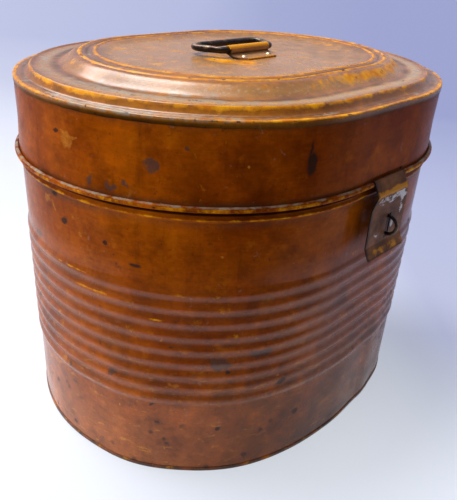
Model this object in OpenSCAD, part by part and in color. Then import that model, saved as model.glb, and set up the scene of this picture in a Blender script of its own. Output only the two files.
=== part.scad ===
// Oval tin hatbox: a ribbed body, a deep hinged lid with a pressed top,
// a hasp and staple at the front and a drop handle on the lid.
// Millimetres. The origin is the middle of the underside, +X is along the
// oval, -Y is the front with the hasp, +Y is the back with the hinge.

/* [Plan] */
// Length of the body, outside the plain wall
body_l = 384; // [372:1:440]
// Width of the body, outside the plain wall, and diameter of its round ends
body_w = 312; // [270:1:324]

/* [Sheet and wire] */
// Thickness of the tinplate
sheet_t = 0.6; // [0.4:0.05:0.8]
// Thickness of the straps, clips and plates
strap_t = 0.8; // [0.6:0.05:1.0]
// Diameter of the wire in the edge of the lid
lid_wire_d = 3; // [2.4:0.1:3.4]
// Diameter of the wire in the rim of the body
rim_wire_d = 2.4; // [1.6:0.1:3]

/* [Body] */
// Height of the middle of the lid's edge wire
joint_h = 241.5; // [225:0.5:270]
// Height of the base plate's turned-up edge
base_edge_h = 4; // [2.5:0.1:8]
// Number of ribs round the wall
rib_count = 9; // [3:1:10]
// Spacing of the ribs
rib_pitch = 12.3; // [8:0.1:13]
// Height of the crest of the lowest rib
rib_low_z = 78; // [20:1:90]
// How far a rib stands out
rib_d = 1.5; // [0.6:0.1:2]
// Depth of the stop bead's middle below the edge wire
stop_drop = 6.2; // [4.8:0.1:9]
// Height of the stop bead
stop_h = 5; // [3:0.1:6]
// How far the stop bead stands out
stop_d = 1.6; // [0.8:0.1:1.8]
// Height of the collar above the edge wire
collar_h = 15; // [8:0.5:20]

/* [Lid] */
// Height of the lid's edge above the edge wire
skirt_h = 58.5; // [40:0.5:90]
// Room between the body and the lid's skirt
lid_gap = 1.5; // [1.2:0.05:3]
// How far the lid stands open at rest, in degrees
lid_ajar = 0.5; // [0:0.1:1]
// Height of the top's folded edge
fold_h = 5; // [3:0.1:12]
// Inset of the foot of the outer bead from the lid's edge
bead_in = 9; // [5:0.1:12]
// Width of the rise of the outer bead
bead_run = 6; // [3:0.1:8]
// Height of the flat strip inside the outer bead
bead_h = 4.8; // [2:0.1:8]
// Inset of the foot of the cove from the lid's edge
cove_in = 33; // [22:0.5:36]
// Width of the cove
cove_run = 17; // [10:0.5:24]
// Rise of the cove
cove_h = 8.4; // [4:0.1:14]
// Width of each of the small beads round the middle panel
trim_w = 4.6; // [3:0.1:6]
// How far the small beads stand up
trim_h = 0.9; // [0.4:0.1:1.5]
// Depth of the middle panel below the small beads
panel_drop = 2.4; // [0:0.1:4]

/* [Handle] */
// Diameter of the bail's bar
bail_d = 5.6; // [4:0.1:7]
// Length of the bail from its axis to the middle of its grip
bail_reach = 30; // [26:0.5:45]
// Straight length of the bail at its axis
bail_pivot_l = 52; // [51:0.5:60]
// Angle of the bail's side limbs to its axis
bail_flare = 62; // [50:1:85]
// Bend radius where the limbs leave the axis
bail_foot_r = 6; // [5:0.5:8]
// Bend radius at the corners of the grip
bail_corner_r = 9; // [6:0.5:10]
// How far the handle's axis lies in front of the middle of the lid
handle_forward = 10.5; // [0:0.5:30]
// Width of the handle's clip
clip_w = 49; // [40:0.5:50]
// Length of the clip's flange from the axis
clip_l = 18; // [15:0.5:24]
// Height of the clip's roll above the lid
clip_lift = 2.4; // [0:0.1:4]
// Cut-off at the corners of the clip's flange
clip_corner = 7; // [2:0.5:8]
// Spacing of the handle's rivets
clip_rivet_gap = 31; // [20:0.5:34]
// Distance of the handle's rivets from the axis
clip_rivet_at = 11; // [9.5:0.1:12]

/* [Hasp] */
// How far the hasp lies to the right of the middle
hasp_shift = 5; // [-6:0.5:6]
// Width of the hasp where it is rolled round the wire
hasp_roll_w = 44; // [30:0.5:46]
// Width of the hasp's leaf
hasp_w = 53; // [46:0.5:60]
// How far the leaf's middle lies to the left of its slot
hasp_leaf_shift = 2.5; // [0:0.5:3]
// How far the leaf hangs in front of the wire
hasp_out = 7; // [6:0.1:8]
// Depth of the leaf's upper bend below the wire
hasp_bend_drop = 8.7; // [7:0.1:10]
// Depth of the leaf's lower bend below the wire
hasp_fold_drop = 50; // [49:0.5:60]
// Height of the flared lip
hasp_lip_h = 9.5; // [3:0.1:12]
// How far the lip flares outwards
hasp_lip_out = 4.5; // [2:0.1:9]
// Height of the slant at the leaf's upper corners
hasp_corner = 9.5; // [3:0.5:12]
// Diameter of the staple's wire
staple_d = 3; // [2.4:0.1:3.4]
// Spacing of the staple's legs
staple_gap = 15; // [13:0.1:15.4]
// How far the staple stands out from the wall
staple_reach = 20.4; // [18:0.1:21]
// Depth of the staple's middle below the wire
staple_drop = 37; // [36:0.1:38]
// Width of the staple plate
staple_plate_w = 26; // [16:0.5:40]
// Height of the staple plate
staple_plate_h = 32; // [26:0.5:40]

/* [Hinge] */
// Width of the hinge strap
hinge_w = 46; // [30:0.5:46]
// Length of the strap's straight part on the wall
hinge_l = 38; // [30:0.5:44]
// Spacing of the hinge's rivets along the wall
hinge_rivet_gap = 28; // [20:0.5:32]
// Spacing of the hinge's rivets up the wall
hinge_rivet_rise = 20; // [14:0.5:22]

/* [Rivets] */
// Diameter of a rivet's shank
rivet_d = 3.2; // [2.4:0.1:3.6]
// Diameter of a rivet's head
rivet_head_d = 5.6; // [5:0.1:6.4]
// Height of a rivet's head
rivet_head_h = 1.4; // [0.8:0.1:1.8]
// Diameter of a burr
burr_d = 8; // [7:0.1:9]

/* [Fits] */
// Room round a wire in its rolled edge
wire_fit = 0.05; // [0.03:0.01:0.1]
// Room round a wire that something swings on
pin_fit = 0.06; // [0.03:0.01:0.1]
// Room between sheets that are folded or soldered together
seam_fit = 0.05; // [0.02:0.01:0.1]
// Room round the shank of a rivet or staple in its hole
rivet_fit = 0.05; // [0.02:0.01:0.1]
// Room between the staple and the hasp's slot over its swing
slot_room = 0.9; // [0.5:0.1:1.2]
// Room beside a roll in its notch in the lid's edge
notch_room = 0.4; // [0.3:0.1:2]

/* [Hidden] */
$fn = 96;

tin = "#9a5a20";
tin_dark = "#7d4217";
iron = "#3b3634";
bare_tin = "#8a8278";

// The oval: two half-round ends and two straight sides
end_r = body_w/2;
end_c = body_l/2 - end_r;

// Wall of the body, measured outwards from its plain outer face
wall_steps = 6;
rim_curl_r = rim_wire_d/2 + wire_fit + sheet_t;
collar_z = joint_h + collar_h;
stop_z = joint_h - stop_drop;
rim_curl_a = 285;

// Lid, measured outwards from the body's plain outer face
skirt_out = lid_gap + sheet_t;
lid_curl_r = lid_wire_d/2 + wire_fit + sheet_t;
lid_wire_off = lid_gap + lid_curl_r;
curl_end_a = 125;
rim_z = joint_h + skirt_h;
lid_edge = skirt_out + seam_fit + sheet_t;
trim_in = cove_in + cove_run + 3*trim_w;
panel_run = 12;
panel_z = rim_z + bead_h + cove_h - panel_drop;

// The edge wire is bare in a notch at the front and at the back, as a pin
notch_half = max(hasp_roll_w, hinge_w)/2 + notch_room;
notch_h = 6;
pin_y = end_r + lid_wire_off;
roll_r = lid_wire_d/2 + pin_fit + strap_t;

// Handle, measured from its axis
clip_in_r = bail_d/2 + pin_fit;
clip_r = clip_in_r + strap_t;
clip_neck = 1.7*clip_r;
flange_t = 2*strap_t;
bail_limb_l = (bail_reach - bail_foot_r*(1 - cos(bail_flare))
               - bail_corner_r*(1 + cos(bail_flare))) / sin(bail_flare);
foot_end = [bail_pivot_l/2 + bail_foot_r*sin(bail_flare), bail_foot_r*(1 - cos(bail_flare))];
limb_end = foot_end + bail_limb_l*[cos(bail_flare), sin(bail_flare)];
corner_c = limb_end + bail_corner_r*[-sin(bail_flare), cos(bail_flare)];
bend_swell = 0.06;
bend_lap = 0.3;

// Hasp and staple, measured from the wire at the front of the closed lid
staple_loop_r = staple_gap/2;
staple_bend_off = staple_reach - staple_d/2 - staple_loop_r;
loop_at = norm([staple_bend_off - lid_wire_off, staple_drop]);
loop_reach = staple_loop_r + staple_d/2 + slot_room;
slot_top = sqrt(pow(loop_at - loop_reach, 2) - pow(hasp_out, 2));
slot_low = sqrt(pow(loop_at + loop_reach, 2) - pow(hasp_out - strap_t, 2));
slot_w = staple_d + 2*slot_room;
staple_z = joint_h + 2*pin_y*sin(lid_ajar) - staple_drop;
staple_head_r = 0.8*staple_d;
staple_head_h = 1;

// Hinge strap, measured outwards from the body's plain outer face
crank_room = 0.3;
crank_off = stop_d + crank_room;
crank_top_z = stop_z - stop_h/2;
crank_low_z = crank_top_z - 2*stop_d - 1;
hinge_rivet_z = crank_low_z - hinge_l/2;

// Crest of the lowest rib: as asked, or lower where the strap needs the room
rib_room = 1;
strap_low_z = crank_low_z - hinge_l;
rib_first_z = min(rib_low_z, strap_low_z - rib_room - (rib_count - 0.5)*rib_pitch);

// Rounded swelling of height h and width w round the place c
function bump(s, c, w, h) = abs(s - c) < w/2 ? h*(1 + cos(360*(s - c)/w))/2 : 0;

// Smooth rise from 0 to h between the places a and b
function rise(s, a, b, h) = s <= a ? 0 : s >= b ? h : h*(1 - cos(180*(s - a)/(b - a)))/2;

function sum(list) = list*[for (i = list) 1];
function turned(list) = [for (i = [len(list) - 1 : -1 : 0]) list[i]];
function spread(a, b, n) = [for (i = [0 : n]) a + (b - a)*i/n];
function ring(c, r, angles) = [for (a = angles) c + r*[cos(a), sin(a)]];

// Closed outline of a sheet of thickness t on the left side of a path
function left_of(v) = [-v[1], v[0]]/norm(v);
function ahead(p, i) = left_of(p[min(i + 1, len(p) - 1)] - p[min(i, len(p) - 2)]);
function behind(p, i) = left_of(p[max(i, 1)] - p[max(i - 1, 0)]);
function mitre(p, i) = (ahead(p, i) + behind(p, i)) / (1 + ahead(p, i)*behind(p, i));
function sheet_outline(p, t) = concat(p, turned([for (i = [0 : len(p) - 1]) p[i] + t*mitre(p, i)]));

// Outer face of the body wall at a height
function wall_off(z) = bump(z, stop_z, stop_h, stop_d)
    + sum([for (i = [0 : rib_count - 1]) bump(z, rib_first_z + i*rib_pitch, rib_pitch, rib_d)]);

wall_zs = concat(
    [sheet_t],
    spread(rib_first_z - rib_pitch/2, rib_first_z + (rib_count - 0.5)*rib_pitch, rib_count*wall_steps),
    spread(stop_z - stop_h/2, stop_z + stop_h/2, wall_steps));
rim_c = [-rim_curl_r, collar_z - rim_curl_r];
rim_angles = spread(0, rim_curl_a, 15);
wall_outline = concat(
    [for (z = wall_zs) [wall_off(z), z]],
    ring(rim_c, rim_curl_r, rim_angles),
    turned(ring(rim_c, rim_curl_r - sheet_t, rim_angles)),
    turned([for (z = wall_zs) [wall_off(z) - sheet_t, z]]));

bead_c = [lid_wire_off, joint_h];
bead_angles = spread(180, 360 + curl_end_a, 15);
skirt_outline = concat(
    [[lid_gap, rim_z - sheet_t]],
    ring(bead_c, lid_curl_r, bead_angles),
    turned(ring(bead_c, lid_curl_r - sheet_t, bead_angles)),
    [[skirt_out, rim_z - sheet_t]]);

// Upper face of the lid above its edge, at an inset from that edge. The outline
// runs on to the middle line, so that the sweep closes the panel.
function top_h(s) = rise(s, bead_in, bead_in + bead_run, bead_h)
    + bump(s, bead_in + bead_run, bead_run, trim_h)
    + rise(s, cove_in, cove_in + cove_run, cove_h)
    + bump(s, cove_in + cove_run + trim_w/2, trim_w, trim_h)
    - bump(s, cove_in + cove_run + 1.5*trim_w, trim_w, trim_h)
    + bump(s, cove_in + cove_run + 2.5*trim_w, trim_w, trim_h)
    - rise(s, trim_in, trim_in + panel_run, panel_drop);
top_insets = concat(
    [0],
    spread(bead_in, bead_in + 1.5*bead_run, 10),
    spread(cove_in, cove_in + cove_run, 9),
    spread(cove_in + cove_run + trim_w/6, trim_in, 17),
    spread(trim_in + panel_run/7, trim_in + panel_run, 6));
top_outline = concat(
    [[lid_edge, rim_z - fold_h]],
    [for (s = top_insets) [lid_edge - s, rim_z + top_h(s)]],
    [[-end_r, panel_z], [-end_r, panel_z - sheet_t]],
    turned([for (s = top_insets) if (s > 0) [lid_edge - s, rim_z + top_h(s) - sheet_t]]),
    [[lid_edge - sheet_t, rim_z - sheet_t], [lid_edge - sheet_t, rim_z - fold_h]]);

// Sweeps of a flat outline along the oval. The outline's x is measured
// outwards from the body's plain outer face, and its y is the height.
module sweep_quarter() {
    translate([end_c, 0, 0])
        rotate_extrude(angle = 90)
            translate([end_r, 0])
                children();
}

// Straight sweep along X, of this length, at the middle of the back
module sweep_straight(l) {
    translate([-l/2, end_r, 0])
        rotate([90, 0, 90])
            linear_extrude(l)
                children();
}

module sweep_back() {
    sweep_quarter() children();
    sweep_straight(2*end_c) children();
    mirror([1, 0, 0]) sweep_quarter() children();
}

module sweep_front() {
    mirror([0, 1, 0]) sweep_back() children();
}

module sweep_round() {
    sweep_back() children();
    sweep_front() children();
}

// Flat oval plate of thickness t on z = 0, grown outwards by off
module oval_plate(off, t) {
    for (flip = [0, 1])
        mirror([flip, 0, 0])
            translate([end_c, 0, 0])
                rotate(-90)
                    rotate_extrude(angle = 180)
                        square([end_r + off, t]);
    translate([-end_c, -end_r - off, 0])
        cube([2*end_c, 2*(end_r + off), t]);
}

// Place their children on the outside of the wall with +Z outwards
module on_back(x, z) {
    translate([x, end_r, z])
        rotate([-90, 0, 0])
            children();
}

module at_staple() {
    translate([hasp_shift, -end_r, staple_z])
        rotate([90, 0, 0])
            children();
}

// Sets the lid and what it carries at its rest angle on the hinge
module lid_at_rest() {
    translate([0, pin_y, joint_h])
        rotate([-lid_ajar, 0, 0])
            translate([0, -pin_y, -joint_h])
                children();
}

// Places its children at the middle of the handle's axis
module at_handle() {
    lid_at_rest()
        translate([0, -handle_forward, panel_z + clip_lift + clip_r])
            children();
}

// Cylinder along X, centred
module bar(d, l) {
    rotate([0, 90, 0])
        cylinder(d = d, h = l, center = true);
}

// Spherical cap on the plane z = 0
module cap(d, h) {
    ball_r = (d*d/4 + h*h)/(2*h);
    rotate_extrude()
        intersection() {
            translate([0, h - ball_r])
                circle(ball_r);
            square([d/2, h]);
        }
}

// Rivet along Z: its head sits on z = 0 and its tail under a stack of this depth
module rivet(depth) {
    cap(rivet_head_d, rivet_head_h);
    translate([0, 0, -depth])
        cylinder(d = rivet_d, h = depth);
    translate([0, 0, -depth])
        mirror([0, 0, 1])
            cap(rivet_head_d, rivet_head_h);
}

module rivet_hole(depth) {
    translate([0, 0, -depth])
        cylinder(d = rivet_d + 2*rivet_fit, h = 2*depth);
}

module burr() {
    difference() {
        cylinder(d = burr_d, h = strap_t);
        rivet_hole(2*strap_t);
    }
}

module base_plate() {
    color(tin_dark) {
        oval_plate(seam_fit + sheet_t, sheet_t);
        sweep_round()
            translate([seam_fit, 0])
                square([sheet_t, base_edge_h]);
    }
}

module body_front_sheet() {
    color(tin)
        difference() {
            sweep_front()
                polygon(wall_outline);
            staple_legs(rivet_fit);
        }
}

module body_back_sheet() {
    color(tin)
        difference() {
            sweep_back()
                polygon(wall_outline);
            at_hinge_rivets()
                rivet_hole(4*sheet_t);
        }
}

module body_rim_wire() {
    color(iron)
        sweep_round()
            translate(rim_c)
                circle(d = rim_wire_d);
}

// Half of the lid's skirt, with a notch in its rolled edge at this place
module back_skirt(notch_x) {
    difference() {
        sweep_back()
            polygon(skirt_outline);
        translate([notch_x - notch_half, end_r, joint_h - 2*lid_curl_r])
            cube([2*notch_half, 3*lid_wire_off, 2*lid_curl_r + notch_h]);
    }
}

module lid_front_skirt() {
    color(tin)
        lid_at_rest()
            mirror([0, 1, 0])
                back_skirt(hasp_shift);
}

module lid_back_skirt() {
    color(tin)
        lid_at_rest()
            back_skirt(0);
}

module lid_top() {
    color(tin)
        difference() {
            lid_at_rest()
                sweep_round()
                    polygon(top_outline);
            at_handle_rivets()
                rivet_hole(4*(flange_t + sheet_t));
        }
}

module lid_edge_wire() {
    color(iron)
        lid_at_rest()
            sweep_round()
                translate(bead_c)
                    circle(d = lid_wire_d);
}

module at_handle_rivets() {
    at_handle()
        for (side = [-1, 1])
            translate([side*clip_rivet_gap/2, -clip_rivet_at, flange_t - clip_r - clip_lift])
                children();
}

module handle_clip() {
    // Plan of the flange, and its side view as forwards, up
    flange = [[-clip_w/2, 0], [-clip_w/2, clip_corner - clip_l], [clip_corner - clip_w/2, -clip_l],
              [clip_w/2 - clip_corner, -clip_l], [clip_w/2, clip_corner - clip_l], [clip_w/2, 0]];
    foot_z = -clip_r - clip_lift;
    side = [[0, -clip_r], [clip_neck, foot_z], [clip_l, foot_z],
            [clip_l, foot_z + flange_t], [clip_neck, foot_z + flange_t], [0, flange_t - clip_r]];
    color(bare_tin)
        difference() {
            at_handle()
                difference() {
                    union() {
                        bar(2*clip_r, clip_w);
                        intersection() {
                            translate([0, 0, foot_z])
                                linear_extrude(clip_r + clip_lift)
                                    polygon(flange);
                            rotate([90, 0, -90])
                                linear_extrude(2*clip_w, center = true)
                                    polygon(side);
                        }
                    }
                    bar(2*clip_in_r, clip_w + 2);
                }
            at_handle_rivets()
                rivet_hole(2*flange_t);
        }
}

// Bend in the bail's bar, round the origin, a hair thicker than the bar
module bend(r, from, turn) {
    rotate(from)
        rotate_extrude(angle = turn)
            translate([r, 0])
                circle(d = bail_d + bend_swell);
}

module handle_bail() {
    color(iron)
        at_handle() {
            bar(bail_d, bail_pivot_l + 2*bend_lap);
            for (flip = [0, 1])
                mirror([flip, 0, 0]) {
                    translate([bail_pivot_l/2, bail_foot_r, 0])
                        bend(bail_foot_r, -90, bail_flare);
                    translate((foot_end + limb_end)/2)
                        rotate(bail_flare)
                            bar(bail_d, bail_limb_l + 2*bend_lap);
                    translate(corner_c)
                        bend(bail_corner_r, bail_flare - 90, 180 - bail_flare);
                }
            translate([0, bail_reach, 0])
                bar(bail_d, 2*(corner_c[0] + bend_lap));
        }
}

module handle_rivets() {
    color(bare_tin)
        at_handle_rivets()
            rivet(flange_t + sheet_t + strap_t);
}

module handle_burrs() {
    color(bare_tin)
        at_handle_rivets()
            translate([0, 0, -flange_t - sheet_t - strap_t])
                burr();
}

module hasp_leaf() {
    // Path of the sheet's inner face, seen from the side: outwards, up
    path = [[hasp_out - strap_t + hasp_lip_out, -hasp_fold_drop - hasp_lip_h],
            [hasp_out - strap_t, -hasp_fold_drop],
            [hasp_out - strap_t, -hasp_bend_drop],
            [lid_wire_d/4, roll_r - strap_t]];
    color(tin_dark)
        lid_at_rest()
            translate([hasp_shift, -pin_y, joint_h])
                difference() {
                    union() {
                        bar(2*roll_r, hasp_roll_w);
                        rotate([90, 0, -90])
                            translate([0, 0, hasp_leaf_shift - hasp_w/2])
                                linear_extrude(hasp_w)
                                    polygon(sheet_outline(turned(path), strap_t));
                    }
                    bar(lid_wire_d + 2*pin_fit, hasp_w + 2);
                    translate([-slot_w/2, -2*hasp_out, -slot_low])
                        cube([slot_w, 2*hasp_out, slot_low - slot_top]);
                    for (side = [-1, 1])
                        translate([side*hasp_w/2 - hasp_leaf_shift, 0, -hasp_bend_drop])
                            rotate([90, 0, 0])
                                hasp_corner_cut(side);
                }
}

// What is cut from beside the hasp's roll and off the leaf's corner below it
module hasp_corner_cut(side) {
    slant = max((hasp_w - hasp_roll_w)/2 - side*hasp_leaf_shift, 0);
    linear_extrude(6*hasp_out, center = true)
        polygon([[side, -hasp_corner], [0, -hasp_corner], [-side*slant, -strap_t],
                 [-side*slant, 2*hasp_bend_drop], [side, 2*hasp_bend_drop]]);
}

// The staple's two legs through the wall, grown by a clearance
module staple_legs(room) {
    at_staple()
        for (side = [-1, 1])
            translate([0, side*staple_gap/2, -4*strap_t])
                cylinder(d = staple_d + 2*room, h = 8*strap_t);
}

module staple() {
    inside = sheet_t + seam_fit + strap_t;
    color(iron)
        at_staple() {
            for (side = [-1, 1])
                translate([0, side*staple_gap/2, -inside]) {
                    cylinder(d = staple_d, h = inside + staple_bend_off);
                    translate([0, 0, -staple_head_h])
                        cylinder(r = staple_head_r, h = staple_head_h);
                }
            translate([0, 0, staple_bend_off])
                rotate([0, -90, 0])
                    rotate(-90)
                        rotate_extrude(angle = 180)
                            translate([staple_loop_r, 0])
                                circle(d = staple_d);
        }
}

module staple_plate() {
    color(bare_tin)
        difference() {
            at_staple()
                translate([-staple_plate_w/2, -staple_plate_h/2, -sheet_t - seam_fit - strap_t])
                    cube([staple_plate_w, staple_plate_h, strap_t]);
            staple_legs(rivet_fit);
        }
}

module at_hinge_rivets() {
    for (side = [-1, 1], row = [-1, 1])
        on_back(side*hinge_rivet_gap/2, hinge_rivet_z + row*hinge_rivet_rise/2)
            translate([0, 0, seam_fit + strap_t])
                children();
}

module hinge_strap() {
    path = [[crank_off, joint_h],
            [crank_off, crank_top_z],
            [seam_fit, crank_low_z],
            [seam_fit, strap_low_z]];
    color(tin_dark)
        difference() {
            union() {
                translate([0, pin_y, joint_h])
                    bar(2*roll_r, hinge_w);
                sweep_straight(hinge_w)
                    polygon(sheet_outline(path, strap_t));
            }
            translate([0, pin_y, joint_h])
                bar(lid_wire_d + 2*pin_fit, hinge_w + 2);
            at_hinge_rivets()
                rivet_hole(4*strap_t);
        }
}

module hinge_rivets() {
    color(bare_tin)
        at_hinge_rivets()
            rivet(2*strap_t + 2*seam_fit + sheet_t);
}

module hinge_burrs() {
    color(bare_tin)
        at_hinge_rivets()
            translate([0, 0, -2*strap_t - 2*seam_fit - sheet_t])
                burr();
}

base_plate();
body_front_sheet();
body_back_sheet();
body_rim_wire();
lid_front_skirt();
lid_back_skirt();
lid_top();
lid_edge_wire();
handle_clip();
handle_bail();
handle_rivets();
handle_burrs();
hasp_leaf();
staple();
staple_plate();
hinge_strap();
hinge_rivets();
hinge_burrs();
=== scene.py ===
"""Looks of the oval tin hatbox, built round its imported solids.

Shapes are worked out in millimetres, in the part's own frame, and become metres when a
piece is made. The plan is an oval of two half-round ends and two straight sides: a place
on it is a column (cx, a), the x of the arc's centre and the angle of the outward normal.
"""

import math

import bmesh
import bpy
import numpy as np
from mathutils import Matrix, Vector
from mathutils.geometry import delaunay_2d_cdt


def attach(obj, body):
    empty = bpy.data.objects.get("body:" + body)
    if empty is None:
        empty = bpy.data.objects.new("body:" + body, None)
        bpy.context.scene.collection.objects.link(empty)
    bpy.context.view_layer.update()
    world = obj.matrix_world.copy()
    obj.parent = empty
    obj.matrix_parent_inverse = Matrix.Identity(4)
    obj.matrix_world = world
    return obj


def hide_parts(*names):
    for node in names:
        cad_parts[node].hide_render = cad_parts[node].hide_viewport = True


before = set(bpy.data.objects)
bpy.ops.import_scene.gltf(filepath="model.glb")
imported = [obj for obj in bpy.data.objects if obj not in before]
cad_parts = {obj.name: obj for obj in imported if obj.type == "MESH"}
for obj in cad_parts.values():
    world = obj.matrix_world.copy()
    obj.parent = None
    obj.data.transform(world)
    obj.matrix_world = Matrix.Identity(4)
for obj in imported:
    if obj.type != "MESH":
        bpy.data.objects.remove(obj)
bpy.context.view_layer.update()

# The sizes of the part
END_R, END_C = 156.0, 36.0
SHEET, STRAP = 0.6, 0.8
JOINT_Z, COLLAR_Z, RIM_Z = 241.5, 256.5, 300.0
RIB_Z, RIB_PITCH, RIB_COUNT, RIB_D = 78.0, 12.3, 9, 1.5
STOP_Z, STOP_H, STOP_D = 235.3, 5.0, 1.6
RIM_CURL_R = 1.85
SKIRT_IN, SKIRT_OUT, LID_EDGE, FOLD_H = 1.5, 2.1, 2.75, 5.0
BEAD_R, BEAD_OFF, WIRE_R = 2.15, 3.65, 1.49
NOTCH_HALF, NOTCH_TOP = 23.4, JOINT_Z + 4.6
HASP_X = 5.0
PIN_Y = END_R + BEAD_OFF
ROLL_IN = 1.56
PANEL_Z, PANEL_DROP = 310.8, 2.4
CLIP_IN, CLIP_LIFT = 2.86, 2.4
HANDLE_Y, HANDLE_Z = -10.5, PANEL_Z + CLIP_LIFT + CLIP_IN + STRAP
STAPLE_Z = 207.286
AJAR = math.radians(-0.5)

LID_TURN = (Matrix.Translation((0, PIN_Y, JOINT_Z)) @ Matrix.Rotation(AJAR, 4, "X")
            @ Matrix.Translation((0, -PIN_Y, -JOINT_Z)))


# Profile helpers

def bump(s, c, w, h=1):
    s = np.asarray(s, float)
    return np.where(abs(s - c) < w / 2, h * (1 + np.cos(2 * np.pi * (s - c) / w)) / 2, 0)


def rise(s, a, b, h):
    t = np.clip((np.asarray(s, float) - a) / (b - a), 0, 1)
    return h * (1 - np.cos(np.pi * t)) / 2


def ramp(x, a, b):
    t = np.clip((np.asarray(x, float) - a) / (b - a), 0, 1)
    return t * t * (3 - 2 * t)


def ring(c, r, start, end, n):
    a = np.radians(np.linspace(start, end, n + 1))
    return np.stack([c[0] + r * np.cos(a), c[1] + r * np.sin(a)], 1)


def spaced(stops, steps):
    """Values from stop to stop, with so many even steps between each two."""
    parts = [np.linspace(a, b, n + 1)[:-1] for a, b, n in zip(stops, stops[1:], steps)]
    return np.concatenate(parts + [stops[-1:]])


def columns(half, extra_x=()):
    """Columns of the back half (from the right end to the left) or of the front half."""
    a0 = 0 if half == "back" else 180
    side = 1 if half == "back" else -1
    xs = set(np.linspace(-END_C, END_C, 13).tolist() + list(extra_x))
    out = [(side * END_C, math.radians(a0 + d)) for d in np.linspace(0, 90, 61)[:-1]]
    out += [(x, math.radians(a0 + 90)) for x in sorted(xs, reverse=side > 0)]
    out += [(-side * END_C, math.radians(a0 + d)) for d in np.linspace(90, 180, 61)[1:]]
    return np.array(out)


def all_round():
    return np.concatenate([columns("back")[:-1], columns("front")[:-1]])


def bearing_of(x, y):
    """Bearing in degrees about the centre of the left end."""
    return np.degrees(np.arctan2(y, x + END_C)) % 360


# Uneven hand work: the sheets wander by a few tenths of a millimetre and carry shallow dents

# Dents of body and lid: (bearing, height, depth, reach along the sheet, reach in height)
BODY_DENTS = ((236, 45, 0.6, 30, 22), (262, 140, 0.35, 22, 16), (20, 130, 0.6, 24, 24),
              (140, 60, 0.6, 30, 20), (110, 150, 0.5, 26, 18), (190, 205, 0.4, 22, 15))
LID_DENTS = ((222, 272, 0.6, 24, 14), (250, 283, 0.45, 20, 12), (295, 268, 0.6, 26, 16),
             (30, 275, 0.7, 26, 14), (150, 268, 0.7, 26, 14))
# How far the lid's left end is pushed in at the top, and both ends of its rolled edge
LEFT_PUSH, EDGE_PUSH = 3.0, 1.1


def quiet(cx, a):
    """0 near the hinge and the hasp, where pieces fit closely, and 1 elsewhere."""
    return ramp(abs(cx + END_R * np.cos(a)), 32, 62)


def wander(cx, a, z, dents):
    w = (0.16 * np.sin(3 * a + cx / 60 + 0.4) * np.sin(z / 47 + 1.1)
         + 0.11 * np.sin(6 * a + cx / 30 + 2.0 + z / 90)
         + 0.06 * np.sin(14 * a + cx / 12 + z / 19) - 0.16)
    for deg, zc, depth, wide, high in dents:
        turn = np.angle(np.exp(1j * (a - math.radians(deg)))) * END_R
        w = w - depth * np.exp(-(turn / wide) ** 2 - ((z - zc) / high) ** 2)
    return w * quiet(cx, a)


def left_end(a):
    """1 at the left end of the oval, where the lid is pushed in, and 0 from its sides on."""
    return ramp(-np.cos(a), 0.3, 1)


def both_ends(a):
    return ramp(abs(np.cos(a)), 0.3, 1)


def bowed(cx, a, z):
    """The low front of the wall: a little rounder in the middle than the plan, flatter beside."""
    x, y = cx + END_R * np.cos(a), END_R * np.sin(a)
    bearing = bearing_of(x, y)
    bow = (2.2 * bump(x, -6, 90) - 1.3 * bump(x, 68, 60)) * (y < 0)
    bow = bow - 1.3 * bump(bearing, 254, 38) + 1.7 * bump(bearing, 207, 36)
    return bow * ramp(z, 150, 60)


# Mesh helpers

def piece(name, verts, faces, materials, body, nodes, marks=None, sharp=35, turn=None,
          material_index=None):
    """A new piece from points in millimetres, riding on a body in place of CAD nodes."""
    mesh = bpy.data.meshes.new(name)
    mesh.from_pydata((np.asarray(verts, float) / 1000).tolist(), [], faces)
    if material_index is not None:
        mesh.polygons.foreach_set("material_index", np.asarray(material_index, np.int32))
    for key, values in (marks or {}).items():
        layer = mesh.attributes.new(key, "FLOAT", "POINT")
        layer.data.foreach_set("value", np.asarray(values, np.float32))
    tidy = bmesh.new()
    tidy.from_mesh(mesh)
    bmesh.ops.recalc_face_normals(tidy, faces=tidy.faces)
    tidy.to_mesh(mesh)
    tidy.free()
    if turn is not None:
        scale = Matrix.Scale(0.001, 4)
        mesh.transform(scale @ turn @ scale.inverted())
    mesh.polygons.foreach_set("use_smooth", [True] * len(mesh.polygons))
    mesh.set_sharp_from_angle(angle=math.radians(sharp))
    for m in materials:
        mesh.materials.append(m)
    obj = bpy.data.objects.new(name, mesh)
    bpy.context.scene.collection.objects.link(obj)
    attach(obj, body)
    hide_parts(*nodes)
    return obj


def repeated(marks, profile, count):
    """Marks along a profile, 0 on the points behind them, for so many columns."""
    return {key: np.tile(np.pad(m, (0, len(profile) - len(m))), count)
            for key, m in marks.items()}


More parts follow.
